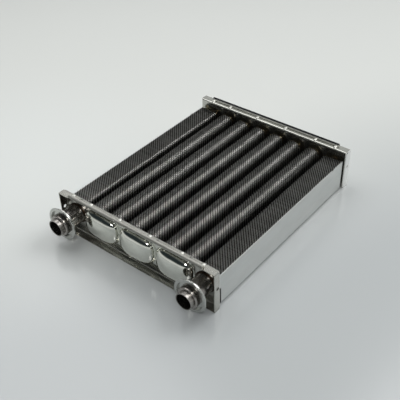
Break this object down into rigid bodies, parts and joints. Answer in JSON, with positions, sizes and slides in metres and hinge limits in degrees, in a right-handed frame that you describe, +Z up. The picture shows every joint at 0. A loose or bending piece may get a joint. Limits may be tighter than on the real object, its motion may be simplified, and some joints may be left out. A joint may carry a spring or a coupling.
{
  "type": "boiler heat exchanger",
  "caption": "Finned-tube heat exchanger of a gas boiler: flattened tubes through a stack of lobed sheet fins between two flanged end plates, with domed headers and two pipe stubs.",
  "frame": {"origin": "centre of the base, in the plane on which both end plates stand", "axes": "+X across the tubes, from the inlet stub to the outlet stub; +Y along the tubes, from the stubs to the rear; +Z up, towards the lobed edge of the fins"},
  "size_m": [0.2392, 0.315, 0.0596],
  "materials": {
    "plate_steel": "satin",
    "pressed_steel": "polished",
    "tube_steel": "satin, heat tinted",
    "fin_steel": "satin",
    "side_steel": "satin",
    "pipe_steel": "satin",
    "ring_steel": "polished",
    "weld_oxide": "oxidised"
  },
  "bodies": {
    "root": {"front_end_plate": "plate_steel", "rear_end_plate": "plate_steel", "front_header": "pressed_steel", "rear_header": "pressed_steel", "tube_1": "tube_steel", "tube_2": "tube_steel", "tube_3": "tube_steel", "tube_4": "tube_steel", "tube_5": "tube_steel", "tube_6": "tube_steel", "tube_7": "tube_steel", "tube_8": "tube_steel", "fin_stack": "fin_steel", "side_plate_left": "side_steel", "side_plate_right": "side_steel", "inlet_pipe": "pipe_steel", "outlet_pipe": "pipe_steel", "inlet_ring": "ring_steel", "outlet_ring": "ring_steel", "inlet_weld": "weld_oxide", "outlet_weld": "weld_oxide"}
  },
  "joints": []
}
